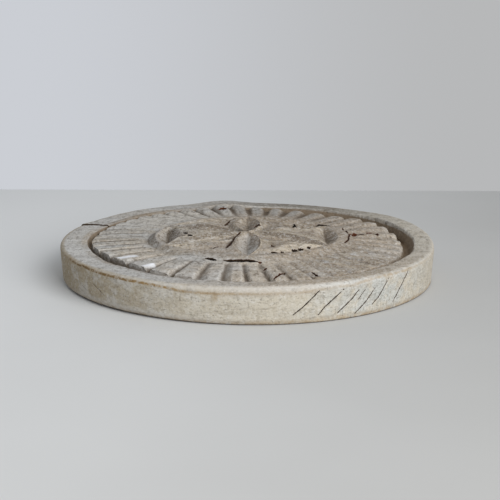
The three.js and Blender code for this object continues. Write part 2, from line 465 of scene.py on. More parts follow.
# The board is folded into one sixth, where a circle bounds half a petal and another bounds a lens
shake = [(cloudy(carving, place, scale) - 0.5) * size["Rosette wander"] for scale in SHAKE_SCALES]
rose_x, rose_y = x + shake[0], y + shake[1]
rose_distance = hypotenuse(rose_x, rose_y)
rose_angle = rose_y.math("ARCTAN2", rose_x)
folded = rose_angle - (rose_angle / SECTOR).math("ROUND") * SECTOR
fold_x = rose_distance * folded.math("COSINE")
fold_y = (rose_distance * folded.math("SINE")).size()
rose_radius = size["Rosette radius"]
from_petal = hypotenuse(fold_x, fold_y - rose_radius) - rose_radius
side_share = rose_angle.math("COSINE") ** 2.0
lens_shift = size["Lens shift"] * side_share
from_lens = hypotenuse(fold_x - lens_shift - rose_radius * math.sqrt(3), fold_y) - rose_radius
widening = size["Petal widening"] * rose_distance.ease(*HUB_WIDENING)
petal_cut = (widening - from_petal).at_least(0.0) * size["Petal slope"] * (1 - side_share * SIDE_PETAL_EASE)
lens_width = (from_lens * -1).at_most(rose_radius + lens_shift - rose_distance)
lens_cut = lens_width.at_least(0.0) * size["Lens slope"] * (side_share * (1 - LENS_LEAST) + LENS_LEAST)

# The fields beside the front and the back petal: a V whose wall on the petal's side widens away from the hub
field_share = rose_y.size() / size["Field length"]
fullness = (field_share.at_most(1.0) * math.pi).math("SINE").at_least(LEAST_FULLNESS)
from_circle = hypotenuse(rose_x.size() + rose_radius * math.cos(SECTOR / 2), rose_y.size() - rose_radius / 2)
from_front = from_circle - rose_radius - size["Petal widening"]
petal_wall = size["Field petal wall"] * field_share + LEAST_WALL
far_wall = size["Field width"] * fullness
field_v = (from_front / petal_wall).at_most(1 - (from_front - petal_wall) / far_wall).at_least(0.0)
field_cut = field_v * fullness * size["Field depth"] * field_share.math("LESS_THAN", 1.0)
rose_wear = cloudy(carving, place, WEAR_SCALE) * ROSE_WEAR_RANGE + ROSE_WEAR_LEAST
rose_cut = (petal_cut + lens_cut + field_cut) * rose_wear * on_top
print(f"rosette: {len(carving.nodes)} nodes in all")

# %% Lower the points and store what the material needs
cut = ray_cut + rose_cut
geometry = new_field(carving, "GeometryNodeSetPosition", {
    "Geometry": Field(carving, carving_in.outputs["Board"]),
    "Offset": new_field(carving, "ShaderNodeCombineXYZ", {"Z": cut * -1}),
})
stored_fields = {
    "cut": cut / MM, "valley": valley * crispness * carved_panel, "across": in_ray,
    "petal": (from_petal - widening) / MM,
}
for name, values in stored_fields.items():
    inputs = {"Geometry": geometry, "Name": name, "Value": values}
    geometry = new_field(carving, "GeometryNodeStoreNamedAttribute", inputs, data_type="FLOAT", domain="POINT")
geometry = new_field(carving, "GeometryNodeRealizeInstances", {0: geometry})
wood = Field(carving, carving_in.outputs["Wood"])
geometry = new_field(carving, "GeometryNodeSetMaterial", {"Geometry": geometry, "Material": wood})
add_node(carving, "NodeGroupOutput", {"Board": geometry})
print(f"carving tree: {len(carving.nodes)} nodes, stores {', '.join(stored_fields)}")

# %% Carve the blank and keep the result as a plain mesh
bleached_wood = bpy.data.materials.new("bleached_wood")
modifier = blank.modifiers.new("carving", "NODES")
modifier.node_group = carving
for item in carving.interface.items_tree:
    if item.in_out == "INPUT" and item.name in carving_sizes:
        modifier[item.identifier] = float(carving_sizes[item.name])
    elif item.in_out == "INPUT" and item.name == "Wood":
        modifier[item.identifier] = bleached_wood

blank.update_tag()
depsgraph = bpy.context.evaluated_depsgraph_get()
board = bpy.data.meshes.new_from_object(blank.evaluated_get(depsgraph))
bpy.data.objects.remove(blank)
depth_of_cut = np.zeros(len(board.vertices), np.float32)
board.attributes["cut"].data.foreach_get("value", depth_of_cut)
print(f"carved board: deepest cut {depth_of_cut.max():.1f} mm")

# %% [markdown]
# ## Cracks, beetle holes and raised grain
#
# As the board dried it split along and across its carving, and beetles left holes. Each crack is a line on the
# board, with a width and a depth. The mesh is first refined along these lines, so that a crack has real walls,
# and then the points near a line are sunk. On the side most cracks slant down to the left in a row. The soft
# parts of the grain have shrunk more than the hard ones, so the whole surface gets a fine relief that runs along
# the grain. It only ever takes wood away, so the board keeps its size. A few ridges that face the lamp get white
# and tan painted highlights, and they are given as lines too.

# %% Cracks and holes, as places on the board
# Each line: its points in millimetres from the centre, half its width, its depth, and how red the wood inside is
TOP_CRACKS = {
    "long crack before the medallion": (
        ((-13.7, -66.7), (-11.3, -67.4), (-5.7, -67.6), (-0.1, -67.6), (5.5, -68.9)), 1.7, 3.0, 0.1),
    "its end, where the wood is fresh": (((6.9, -69.6), (8.6, -70.4)), 0.9, 1.2, 0.8),
    "short crack to the left of it": (((-26, -61.8), (-23.8, -63.4), (-19.7, -65.6)), 1.2, 2.6, 0.0),
    "forked crack": (((31.8, 37), (32.7, 27), (34.1, 24.5)), 0.7, 1.6, 0.0),
    "its branch": (((32.7, 27), (32.1, 23.5)), 0.6, 1.2, 0.0),
    "crack at the end of the right petal": (((49.5, 28.6), (53.2, 33.4), (57, 39)), 2.8, 3.4, 0.0),
    "crack in a front ray": (((16, -99.6), (19.4, -92.7), (22.7, -85.5)), 0.8, 1.6, 0.6),
    "crack in the next ray but one": (((39.3, -85.6), (42.5, -92.6)), 0.8, 1.4, 0.3),
    "thin crack in the lower left petal": (((-22.2, -41), (-19.4, -39.4), (-16.6, -35.6)), 0.4, 1.2, 0.2),
    "slot in the medallion": (((34.3, -28.5), (37.8, -24)), 0.9, 1.8, 0.3),
    "inner beetle hole": (((73, 10.8), (74.4, 18.2)), 3.4, 3.2, 0.8),
    "its outer end": (((76.6, 14.4), (78.6, 14.6)), 2.2, 2.6, 0.1),
    "outer beetle hole": (((83.8, 23.2), (87.2, 22.8), (89.2, 15.2)), 1.6, 1.5, 0.7),
    "back beetle hole": (((-20, 89.4), (-16.6, 90.6)), 2.8, 2.8, 0.7),
    "hole beside the hub": (((5.4, 28.5), (8, 21.4)), 1.9, 2.2, 0.5),
    "pit in the left lens": (((-42.4, 0.8), (-40.6, -3)), 1.4, 1.8, 0.0),
    "pit in the left petal": (((-39, -6.8), (-37.4, -10)), 1.4, 1.8, 0.0),
    "dot in the front rays": (((10.8, -80.2), (11.4, -81.8)), 1.0, 1.4, 0.6),
    "first hole in the arc": (((16, -48.4), (18.8, -47.2)), 1.6, 2.4, 0.1),
    "second hole in the arc": (((22, -45.6), (23, -45)), 1.1, 2.0, 0.1),
    "third hole in the arc": (((29.3, -40.8), (31.6, -39.4)), 1.3, 2.2, 0.1),
    "fourth hole in the arc": (((33.4, -38.3), (35.8, -36.8)), 1.1, 2.0, 0.1),
    "fifth hole in the arc": (((39.4, -34.7), (40.4, -34)), 1.0, 2.0, 0.1),
    "left edge of the front petal": (
        ((-5.2, -1.6), (-7.5, -8.2), (-9.9, -25), (-11.8, -32.8), (-13.6, -40.6)), 1.3, 0.5, 0.2),
    "right edge of the front petal": (((15.4, -28.6), (17.1, -36.6)), 0.6, 0.4, 0.2),
    "left edge of the back petal": (((-11.4, 50), (-15.6, 30.4)), 0.8, 0.45, 0.2),
    "crack from the joint into the rays": (((-103.5, 42.6), (-97, 51), (-94.6, 66)), 0.9, 1.6, 0.1),
    "line at the right of the rays": (
        ((67.1, 31.4), (68.9, 19.8), (69.9, 10.4), (67.4, -7.8), (64.5, -18)), 0.6, 0.6, 0.4),
}
# One more line is an arc round the centre: its radius, and the bearings of its ends
BACK_LINE = (66, 98, 160)
BACK_LINE_POINTS = 13
radius, first, last = BACK_LINE
turns_along = np.radians(np.linspace(first, last, BACK_LINE_POINTS))
back_arc = tuple((radius * math.cos(turn), radius * math.sin(turn)) for turn in turns_along)
TOP_CRACKS["line at the back left"] = (back_arc, 0.5, 0.5, 0.4)

# Each crack on the side: bearing in degrees and height in millimetres of its points, and how open it is
SIDE_CRACKS = (
    (((-70, 20.2), (-75, 10), (-78.4, 4.6)), 0.75),
    (((-63.1, 18.6), (-68.8, 8.8), (-70.5, 4.1)), 0.75),
    (((-57.4, 18.2), (-60.2, 12), (-64.7, 4.3)), 0.65),
    (((-55.4, 17.2), (-58.2, 10.6)), 0.45),
    (((-52.1, 16.4), (-55.3, 8.5), (-58.9, 2.6)), 0.7),
    (((-46.8, 20.4), (-50.5, 10), (-53.3, 5.5)), 0.75),
    (((-36.9, 22.4), (-40.7, 13.1), (-44.2, 4.2)), 1.4),
    (((-140.2, 14.4), (-137.2, 11.6), (-134.1, 8.2)), 0.4),
    (((-146, 9.8), (-143.1, 7.4)), 0.3),
)
SIDE_CRACK_WIDTH = 0.3 * MM
SIDE_CRACK_LEAST = 0.4
SIDE_CRACK_DEPTH = 0.9 * MM
print(f"{len(TOP_CRACKS)} cracks and holes on the top, {len(SIDE_CRACKS)} cracks on the side")

# %% How far each point lies from the cracks
def line_distance(at, line):
    """How far each point lies from a line of straight stretches, and its share of the way along the line."""
    line = np.array(line, float)
    lengths = np.hypot(*np.diff(line, axis=0).T)
    best = np.full(len(at), np.inf)
    share = np.zeros(len(at))
    for number, (start, end) in enumerate(zip(line[:-1], line[1:])):
        way = end - start
        part = np.clip(((at - start) @ way) / (way @ way), 0, 1)
        gap = np.hypot(*(at - start - part[:, None] * way).T)
        closer = gap < best
        best[closer] = gap[closer]
        share[closer] = ((lengths[:number].sum() + part * lengths[number]) / lengths.sum())[closer]
    return best, share


def cracks_at(spots):
    """The cracks on the top, then those on the side: distance, share along, half width, depth, redness, on top."""
    reach = np.hypot(spots[:, 0], spots[:, 1])
    on_top = (spots[:, 2] > MIDDLE_OF_BOARD) & (reach < PANEL_RADIUS + MOAT_PANEL_SLOPE)
    on_side = (reach > BOARD_RADIUS - EDGE_DRAFT - MM) & (spots[:, 2] > BOTTOM_ROUND / 2)
    for line, half_width, depth, red in TOP_CRACKS.values():
        gap, share = line_distance(spots[:, :2], np.array(line) * MM)
        yield np.where(on_top, gap, np.inf), share, half_width * MM, depth * MM, red, True
    unrolled = np.stack([np.arctan2(spots[:, 1], spots[:, 0]) * BOARD_RADIUS, spots[:, 2]], axis=1)
    for line, openness in SIDE_CRACKS:
        gap, share = line_distance(unrolled, [(math.radians(a) * BOARD_RADIUS, h * MM) for a, h in line])
        half_width = SIDE_CRACK_WIDTH * (SIDE_CRACK_LEAST + (1 - SIDE_CRACK_LEAST) * openness)
        yield np.where(on_side, gap, np.inf), share, half_width, SIDE_CRACK_DEPTH * openness, 0.0, False


print("distances from cracks ready")

# %% Refine the mesh along the cracks
REFINED_BAND = 0.5 * MM
REFINED_CUTS = 2

work = bmesh.new()
work.from_mesh(board)
middles = np.array([face.calc_center_median() for face in work.faces])
refined = np.zeros(len(middles), bool)
for gap, _, half_width, _, _, _ in cracks_at(middles):
    refined |= gap < half_width + REFINED_BAND
work.faces.ensure_lookup_table()
split_edges = {edge for number in np.flatnonzero(refined) for edge in work.faces[number].edges}
bmesh.ops.subdivide_edges(work, edges=sorted(split_edges, key=lambda edge: edge.index),
                          cuts=REFINED_CUTS, use_grid_fill=True)
bmesh.ops.triangulate(work, faces=[face for face in work.faces if len(face.verts) > 4])
work.to_mesh(board)
work.free()
print(f"refined {refined.sum()} faces")

# %% Rough noise, and a way to smooth the board
NOISE_FALL = 0.8
NOISE_STEP = 2.0
NOISE_OCTAVES = 3

ends = np.zeros(len(board.edges) * 2, np.int32)
board.edges.foreach_get("vertices", ends)
ends = ends.reshape(-1, 2)
count = len(board.vertices)
neighbours = np.bincount(ends.ravel(), minlength=count)


def as_array(mesh, field="co"):
    """The places or the normals of all points of a mesh."""
    values = np.zeros(len(mesh.vertices) * 3, np.float32)
    mesh.vertices.foreach_get(field, values)
    return values.reshape(-1, 3).astype(float)


def noise_at(spots, stretch):
    """Rough random numbers of about 0 to 1 at each spot, drawn out by a stretch along each axis."""
    places = spots * np.array(stretch)
    values = [noise.fractal(Vector(place), NOISE_FALL, NOISE_STEP, NOISE_OCTAVES) for place in places]
    return np.clip(0.5 + 0.5 * np.array(values), 0, 1)


def smoothed(values, rounds):
    """Moves each point towards the middle of its neighbours, a number of times."""
    for _ in range(rounds):
        columns = []
        for column in values.T:
            total = np.bincount(ends[:, 0], column[ends[:, 1]], count)
            total += np.bincount(ends[:, 1], column[ends[:, 0]], count)
            columns.append(0.5 * column + 0.5 * total / neighbours)
        values = np.stack(columns, axis=1)
    return values


print(f"{count} points, {len(ends)} edges to smooth along")

# %% Wear the ridges and raise the grain
WEAR_STRETCH = (40.0, 60.0, 60.0)
WEAR_RANGE = (0.4, 0.65)
WEAR_ROUNDS = 3
GRAIN_STRETCH = (9.0, 85.0, 85.0)
FIBRE_STRETCH = (30.0, 420.0, 420.0)
DENT_STRETCH = (130.0, 170.0, 170.0)
TOP_RELIEF = (0.25 * MM, 0.22 * MM, 0.5 * MM)
SIDE_RELIEF = (0.1 * MM, 0.06 * MM, 0.15 * MM)
RIM_SHARE = 0.3
RAY_SHARE = 0.7
ROSETTE_WEAR = 0.35
OFF_FLOOR = (0.3 * MM, 2.0 * MM)
SIDE_START = BOARD_RADIUS - 4 * MM
SIDE_END = BOARD_RADIUS - MM
RIM_FADE = (-MM, 2 * MM)

spots = as_array(board)
normals = as_array(board, "normal")
reach = np.hypot(spots[:, 0], spots[:, 1])
off_floor = ease(*OFF_FLOOR, spots[:, 2])
on_side = ease(SIDE_START, SIDE_END, reach)
worn_away = ease(*WEAR_RANGE, noise_at(spots, WEAR_STRETCH)) * off_floor * (1 - on_side)
worn_away *= ROSETTE_WEAR + (1 - ROSETTE_WEAR) * ease(MEDALLION_RADIUS, RAY_INNER_RADIUS, reach)
shaped = spots + (smoothed(spots, WEAR_ROUNDS) - spots) * worn_away[:, None]
relief = np.zeros(count)
stretches = (GRAIN_STRETCH, FIBRE_STRETCH, DENT_STRETCH)
for stretch, top_relief, side_relief in zip(stretches, TOP_RELIEF, SIDE_RELIEF):
    relief += noise_at(spots, stretch) * (top_relief + (side_relief - top_relief) * on_side)
top_share = 1 + (RAY_SHARE - 1) * ease(MEDALLION_RADIUS, RAY_INNER_RADIUS, reach)
rim_fade = (BOARD_RADIUS - RIM_WIDTH + offset for offset in RIM_FADE)
top_share += (RIM_SHARE - RAY_SHARE) * ease(*rim_fade, reach)
relief *= top_share + (1 - top_share) * on_side
shaped -= normals * (relief * off_floor)[:, None]
print(f"grain relief up to {relief.max() / MM:.2f} mm")

# %% Sink the cracks
SIDE_CRACK_SHAKE = 0.35
CRACK_ROUGHNESS = 0.45 * MM
CRACK_GRAIN = 330.0
CRACK_SHIFTS = (0.37, -0.41)
CRACK_STEEPNESS = 2.2
CRACK_TAPER = 4
TOP_BLUNTNESS = 0.6
SIDE_BLUNTNESS = 0.25
CRACK_PROFILE = 0.7
# Darkness in a hole on the top reaches a little beyond its walls: how steeply it falls, and where it ends
CRACK_EDGE = (4.0, 1.12)

rough = [noise_at(spots + shift, (CRACK_GRAIN,) * 3) for shift in CRACK_SHIFTS]
shaken = spots.copy()
shake = CRACK_ROUGHNESS * (1 + (SIDE_CRACK_SHAKE - 1) * on_side)
shaken[:, :2] += (np.stack(rough, axis=1) - 0.5) * 2 * shake[:, None]
outward = spots * np.array([1, 1, 0])
outward /= np.maximum(np.linalg.norm(outward, axis=1), MM)[:, None]
crack = np.zeros(count)
redness = np.zeros(count)
for gap, share, half_width, depth, red, is_top in cracks_at(shaken):
    bluntness = TOP_BLUNTNESS if is_top else SIDE_BLUNTNESS
    taper = np.minimum(1, CRACK_TAPER * np.minimum(share, 1 - share) + bluntness)
    off_line = gap / (half_width * taper)
    opened = np.clip(CRACK_STEEPNESS * (1 - off_line), 0, 1)
    sunk = depth * opened ** CRACK_PROFILE
    shaped -= (np.array([0, 0, 1]) if is_top else outward) * sunk[:, None]
    dark = np.clip(CRACK_EDGE[0] * (CRACK_EDGE[1] - off_line), 0, 1) if is_top else opened
    dark *= min(1, depth / SIDE_CRACK_DEPTH)
    redness = np.where(dark > crack, red, redness)
    crack = np.maximum(crack, dark)
board.vertices.foreach_set("co", shaped.astype(np.float32).ravel())
board.update()
print(f"{np.count_nonzero(crack)} points in cracks")

# %% Find the ridges that get painted highlights
RIDGE_EDGE = 1.3
RIDGE_FADE = (0.6 * MM, 1.6 * MM)
# Each ridge: its points in millimetres from the centre, and half its width
WHITE_HIGHLIGHT_RIDGES = (
    (((-80.4, -64.6), (-71.1, -56.3)), 3.0),
    (((-63, -80.6), (-57.8, -75)), 1.9),
)
TAN_LIGHT_RIDGES = (
    (((15.8, -44.1), (24.3, -39.6), (34.1, -33.9), (44.4, -23.5), (52.8, -15.2)), 4.2),
    (((-38.1, -10.4), (-28.2, -6.5), (-18.3, -0.8)), 4.0),
    (((-9, 14), (12, 11), (30, 16)), 3.5),
    (((10.8, -17), (13, -24), (14.6, -33)), 1.6),
)


def along_ridges(ridges):
    """How much each point of the carved face belongs to one of the ridges, from 0 to 1."""
    best = np.zeros(count)
    for line, half_width in ridges:
        gap, _ = line_distance(shaken[:, :2] / MM, line)
        best = np.maximum(best, np.clip(RIDGE_EDGE - gap / half_width, 0, 1))
    inside = ease(*(PANEL_RADIUS - inset for inset in RIDGE_FADE), reach)
    return best * inside * (spots[:, 2] > MIDDLE_OF_BOARD)


painted_highlight = along_ridges(WHITE_HIGHLIGHT_RIDGES)
painted_tan_light = along_ridges(TAN_LIGHT_RIDGES)
print(f"{np.count_nonzero(painted_highlight)} points on white ridges, {np.count_nonzero(painted_tan_light)} on tan ones")

# %% [markdown]
# ## Where dirt and shade gather, where hands rub, and which facets face the lamp
#
# Dirt stays in hollows and wears off ridges, and the hollows are also painted darker as painted shade. To tell them
# apart, the script smooths a copy of the surface: where the smoothed copy lies above the real one, the real one is
# hollow. A little smoothing finds the corners of the chisel cuts, and a lot of it finds the moat and the valleys.
# Facets that look to the lamp at the front right get painted light, and those that look away from it get painted
# shade. All this is stored on the mesh for the material, with the cracks and the painted highlights on the ridges.

# %% Measure hollows, ridges and which facets face the lamp, for painted light and shade
WINDOW_BEARING = math.radians(-58)
WINDOW_HEIGHT = math.radians(29)
FINE_ROUNDS = 4
BROAD_ROUNDS = 40
FINE_DEPTH = 0.35 * MM
BROAD_DEPTH = 1.6 * MM

normals = as_array(board, "normal")
fine = smoothed(shaped, FINE_ROUNDS)
broad = smoothed(fine, BROAD_ROUNDS)
hollow = np.einsum("ij,ij->i", fine - shaped, normals) / FINE_DEPTH
shelter = np.einsum("ij,ij->i", broad - shaped, normals) / BROAD_DEPTH
to_window = Vector((
    math.cos(WINDOW_BEARING) * math.cos(WINDOW_HEIGHT),
    math.sin(WINDOW_BEARING) * math.cos(WINDOW_HEIGHT),
    math.sin(WINDOW_HEIGHT),
))
# Painted light and shade: how far each facet turns to the lamp, so the material paints facets turned to it lighter and
# the others darker
painted_light = smoothed(normals, 1) @ np.array(to_window) - to_window.z
kept_values = {
    "crack": crack, "redness": redness, "painted_highlight": painted_highlight, "painted_tan_light": painted_tan_light,
    "hollow": hollow, "shelter": shelter, "painted_light": painted_light,
}
for name, values in kept_values.items():
    store(board, name, values)
print(f"hollows up to {hollow.max():.1f}, shelter up to {shelter.max():.1f}")

# %% [markdown]
# ## Two staves, pegged edge to edge
#
# No tree nearby was wide enough, so the board is made of two staves. Three pegs cross the joint, in holes drilled
# into both edges, and at the left end the joint has opened. The carved board is cut along the joint, the cut face
# is filled round the mouths of the peg holes, and each hole gets its wall and its end. On the rear stave the wood
# next to the joint is squeezed back where the joint has opened.

# %% Where the joint lies, and a drill for the peg holes
PEGS = ("peg_left", "peg_middle", "peg_right")
PEG_CLEARANCE = 0.2 * MM
HOLE_SIDES = 24

front_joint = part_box("front_stave")[1].y
rear_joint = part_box("rear_stave")[0].y
split_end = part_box("rear_stave")[0].x
peg_boxes = [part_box(name) for name in PEGS]


def drill(work, centre, radius, depth):
    """Adds a blind hole behind the joint face and returns the edges of its mouth."""
    mouth = []
    floor = []
    for step in range(HOLE_SIDES):
        turn = 2 * math.pi * step / HOLE_SIDES
        spot = centre + radius * Vector((math.cos(turn), 0, math.sin(turn)))
        mouth.append(work.verts.new(spot))
        floor.append(work.verts.new(spot + Vector((0, depth, 0))))
    edges = []
    for step in range(HOLE_SIDES):
        following = (step + 1) % HOLE_SIDES
        wall = work.faces.new((mouth[step], mouth[following], floor[following], floor[step]))
        edges.append(next(edge for edge in wall.edges if set(edge.verts) == {mouth[step], mouth[following]}))
    work.faces.new(floor)
    return edges


print(f"joint {front_joint / MM:.1f} mm behind the centre, {len(peg_boxes)} pegs")

# %% How a stave is cut from the board
SPLIT_LENGTH = 34 * MM
SPLIT_OPENING = 2.2 * MM
SPLIT_GIVE = 14 * MM
SPLIT_LIFT = 0.6 * MM
SPLIT_DARKNESS = 0.4
SPLIT_FADE = 3
ON_JOINT = MM / 10
SHARP_ANGLE = math.radians(48)


def make_stave(name, joint, is_front):
    """Cuts one stave from the board, drills its peg holes and opens the left end of the joint."""
    work = bmesh.new()
    work.from_mesh(board)
    parts = work.verts[:] + work.edges[:] + work.faces[:]
    bmesh.ops.bisect_plane(work, geom=parts, plane_co=(0, joint, 0), plane_no=(0, 1, 0),
                           clear_outer=is_front, clear_inner=not is_front)
    outline = [edge for edge in work.edges if edge.is_boundary]
    mouths = []
    for low, high in peg_boxes:
        middle = (low + high) / 2
        radius = (high.x - low.x) / 2 + PEG_CLEARANCE
        end = low.y - PEG_CLEARANCE if is_front else high.y + PEG_CLEARANCE
        mouths += drill(work, Vector((middle.x, joint, middle.z)), radius, end - joint)
    facing = Vector((0, 1 if is_front else -1, 0))
    bmesh.ops.triangle_fill(work, edges=outline + mouths, use_beauty=True, normal=facing)
    darkness = work.verts.layers.float["crack"]
    for vert in work.verts:
        opening = max(0, (split_end + SPLIT_LENGTH - vert.co.x) / SPLIT_LENGTH)
        if abs(vert.co.y - joint) < ON_JOINT:
            vert[darkness] = max(vert[darkness], SPLIT_DARKNESS * min(1, SPLIT_FADE * opening))
        if not is_front:
            give = max(0, 1 - (vert.co.y - joint) / SPLIT_GIVE)
            vert.co.y += SPLIT_OPENING * opening * give
            vert.co.z += SPLIT_LIFT * opening * give * min(1, vert.co.z / RIM_HEIGHT)
    bmesh.ops.recalc_face_normals(work, faces=work.faces[:])
    bmesh.ops.triangulate(work, faces=[face for face in work.faces if len(face.verts) > 4])
    mesh = bpy.data.meshes.new(name)
    work.to_mesh(mesh)
    work.free()
    mesh.shade_smooth()
    mesh.set_sharp_from_angle(angle=SHARP_ANGLE)
    mesh.materials.append(bleached_wood)
    triangles = sum(len(face.vertices) - 2 for face in mesh.polygons)
    print(f"{name}: {triangles} triangles")
    return add_object(name, mesh)


print(f"the joint is open by {SPLIT_OPENING / MM:.1f} mm at its left end")

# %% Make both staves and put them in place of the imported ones
front_stave = make_stave("carved_front_stave", front_joint, True)
rear_stave = make_stave("carved_rear_stave", rear_joint, False)
bpy.data.meshes.remove(board)
for stave, node in ((front_stave, "front_stave"), (rear_stave, "rear_stave")):
    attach(stave, "root")
    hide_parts(node)

# %% [markdown]
# ## Bleached wood
#
# The wood is pale, dry and grey, with a little tan left in it. The grain runs from left to right, so its bands,
# fibres and thin lines are stretched along X, and pores, speckles and crumbs are small in every direction. The side
# is creamier than the top, and its left part is painted darker as painted shade. Dirt and painted shade darken the
# hollows, the valleys and the moat, rubbed ridges are paler, cracks are nearly black, and beetle holes show
# red-brown wood. Facets and ridges that face the lamp get painted light, and those that face away get painted
# shade. The colour is built up as a painter would do it, one thin layer over the other: each layer has a tone, and
# a share that says where and how strongly it lies. The colours are written as they look on a screen, and turned
# into the linear values that the shader works with.

# %% Helpers for materials
# A Mix node has sockets for numbers, vectors and colours: these are the numbers of those for colours
MIX_FIRST, MIX_SECOND, MIX_RESULT = 6, 7, 2


def screen_colour(red, green, blue):
    """A colour as seen on a screen, 0 to 255, as a linear RGBA value."""
    linear = [((c / 255 + 0.055) / 1.055) ** 2.4 if c > 10 else c / 255 / 12.92 for c in (red, green, blue)]
    return (*linear, 1.0)


def mixed(tree, share, first, second):
    """One colour with a share of another mixed in."""
    inputs = {"Factor": share, MIX_FIRST: first, MIX_SECOND: second}
    return new_field(tree, "ShaderNodeMix", inputs, MIX_RESULT, data_type="RGBA")


def layered(tree, colour, layers):
    """Lays one tone after the other over a colour, each with its own share."""
    for share, tone in layers:
        colour = mixed(tree, share, colour, tone)
    return colour


def start_material(material):
    """Empties a material and returns its tree, its shader and the object's own coordinates."""
    material.use_nodes = True
    tree = material.node_tree
    tree.nodes.clear()
    shader = add_node(tree, "ShaderNodeBsdfPrincipled")
    output = add_node(tree, "ShaderNodeOutputMaterial")
    tree.links.new(shader.outputs[0], output.inputs[0])
    return tree, shader, new_field(tree, "ShaderNodeTexCoord", output="Object")


def finish_material(tree, shader, colour, roughness, relief=None, strength=0.0, depth=0.0):
    """Joins the colour, the roughness and, where there is one, the relief to the shader."""
    tree.links.new(colour.socket, shader.inputs["Base Color"])
    shader.inputs["Roughness"].default_value = roughness
    if relief:
        bump = add_node(tree, "ShaderNodeBump", {"Height": relief, "Strength": strength, "Distance": depth})
        tree.links.new(bump.outputs[0], shader.inputs["Normal"])


print("helpers for materials ready")

# %% Patterns in the wood, and what the mesh has stored
# Each pattern: how tight it is along X, Y and Z, in waves a metre, how many finer copies it has, and their strength
PATTERNS = {
    "grain": ((11, 150, 150), 5, 0.62),
    "fibre": ((40, 800, 800), 3, 0.6),
    "wavy": ((9, 95, 95), 4, 0.6),
    "pores": ((420, 760, 760), 2, 0.6),
    "patches": ((22, 34, 34), 3, 0.55),
    "mottle": ((330, 330, 330), 4, 0.7),
    "speckle": ((700, 1000, 1000), 2, 0.7),
    "flakes": ((380, 190, 380), 3, 0.65),
    "blotches": ((85, 85, 85), 4, 0.65),
    "crumbs": ((520, 140, 520), 3, 0.7),
}
LINE_SHARPNESS = 14


def pattern(tree, place, stretch, detail, roughness):
    """Clouds drawn out by a stretch along each axis."""
    drawn_out = new_field(tree, "ShaderNodeMapping", {"Vector": place, "Scale": stretch})
    return cloudy(tree, drawn_out, detail=detail, roughness=roughness)


tree, shader, place = start_material(bleached_wood)
grain, fibre, wavy, pores, patches, mottle, speckle, flakes, blotches, crumbs = (
    pattern(tree, place, *values) for values in PATTERNS.values())
thin_lines = (1 - (wavy - 0.5).size() * LINE_SHARPNESS).at_least(0.0)
cut, valley, across, petal, crack, redness, painted_highlight, painted_tan_light, hollow, shelter, painted_light = (
    new_field(tree, "ShaderNodeAttribute", output="Fac", attribute_name=name)
    for name in (*stored_fields, *kept_values))
print(f"{len(PATTERNS)} patterns, {len(stored_fields) + len(kept_values)} stored values")

# %% Places on the board, in millimetres and degrees
# Each zone: the bearing of its middle and its reach
ZONES = {
    "brown rays": (-50, 50), "back": (80, 52), "front rim": (-62, 66), "back rim": (72, 56), "left rim": (185, 55),
    "front side": (-75, 60), "left side": (-160, 62), "chalky side": (-50, 38), "pale side": (-135, 62),
    "stained side": (-140, 62), "speckled side": (-40, 45), "crumbled": (190, 60), "groove": (203, 62),
    "front petal": (-90, 26), "back petal": (75, 40), "left rays": (190, 50), "pale rays": (130, 42),
    "tan rays": (130, 45), "warm rays": (-112, 32), "worn rays": (-46, 50), "darker valleys": (175, 60),
    "lighter valleys": (130, 40), "dark ends": (-140, 22), "dim ends": (-146, 45), "back left": (135, 50),
    "low arris": (-90, 48), "left arris": (-125, 48), "right arris": (-45, 32), "dark arris": (-150, 45),
    "drip": (-98.5, 1.6), "front foot": (-65, 60), "foot shadow": (-135, 60),
}
TOP_RISE = (14, 17)
RIM_RISE = (110, 112)
BACK_BAND = ((72, 84), (111, 114))


def within(field, rise, fall):
    """1 from the end of the rise to the start of the fall, with soft ends, and 0 outside them."""
    return field.ease(*rise) * (1 - field.ease(*fall))


def from_spot(middle, spread):
    """How far a point lies from a spot: 0 in its middle and 1 at its edge."""
    return hypotenuse((x - middle[0]) / spread[0], (y - middle[1]) / spread[1])


x, y, height = (axis / MM for axis in split_vector(tree, place))
reach = hypotenuse(x, y)
angle = y.math("ARCTAN2", x)
zone = {name: hill(angle, *where) for name, where in ZONES.items()}
panel_end, ray_start, medallion_edge = (
    length / MM for length in (PANEL_RADIUS, RAY_INNER_RADIUS, MEDALLION_RADIUS))
on_side = reach.ease(SIDE_START / MM, SIDE_END / MM)
on_top = height.ease(*TOP_RISE) * (1 - on_side)
on_rim = reach.ease(*RIM_RISE) * on_top
on_medallion = reach.ease(medallion_edge + 4, medallion_edge - 2)
on_rosette = on_medallion * on_top
on_rays = within(reach, (ray_start, ray_start + 3), (panel_end - 1, panel_end)) * on_top
at_back = zone["back"] * within(reach, *BACK_BAND) * on_top
left_rays = zone["left rays"] * on_rays
worn_rays = zone["worn rays"] * on_rays
print(f"{len(ZONES)} zones")

# %% The colours of the wood
# Grey and tan, browner in the middle and to the right, creamier on the side and on the right of the rim
GREY = screen_colour(198, 197, 194)
TAN = screen_colour(198, 185, 166)
WARM_BROWN = screen_colour(166, 150, 131)
PALE = screen_colour(214, 213, 210)
WHITE = screen_colour(240, 242, 246)
CREAM = screen_colour(194, 186, 169)
SHADED_CREAM = screen_colour(160, 145, 119)
FIBRE_BROWN = screen_colour(128, 116, 101)
LINE_GREY = screen_colour(104, 97, 88)
PORE_BROWN = screen_colour(92, 80, 66)
# A dark brown for dirt and painted shade in hollows, the groove and the rosette
DIRT_AND_SHADE = screen_colour(98, 86, 72)
# Its grey: on the back of the rim, and as dirt and painted shade in the valleys
GREY_DIRT_AND_SHADE = screen_colour(112, 104, 95)
MOAT_BROWN = screen_colour(124, 105, 82)
BACK_BROWN = screen_colour(92, 78, 62)
LOBE_GREY = screen_colour(166, 165, 162)
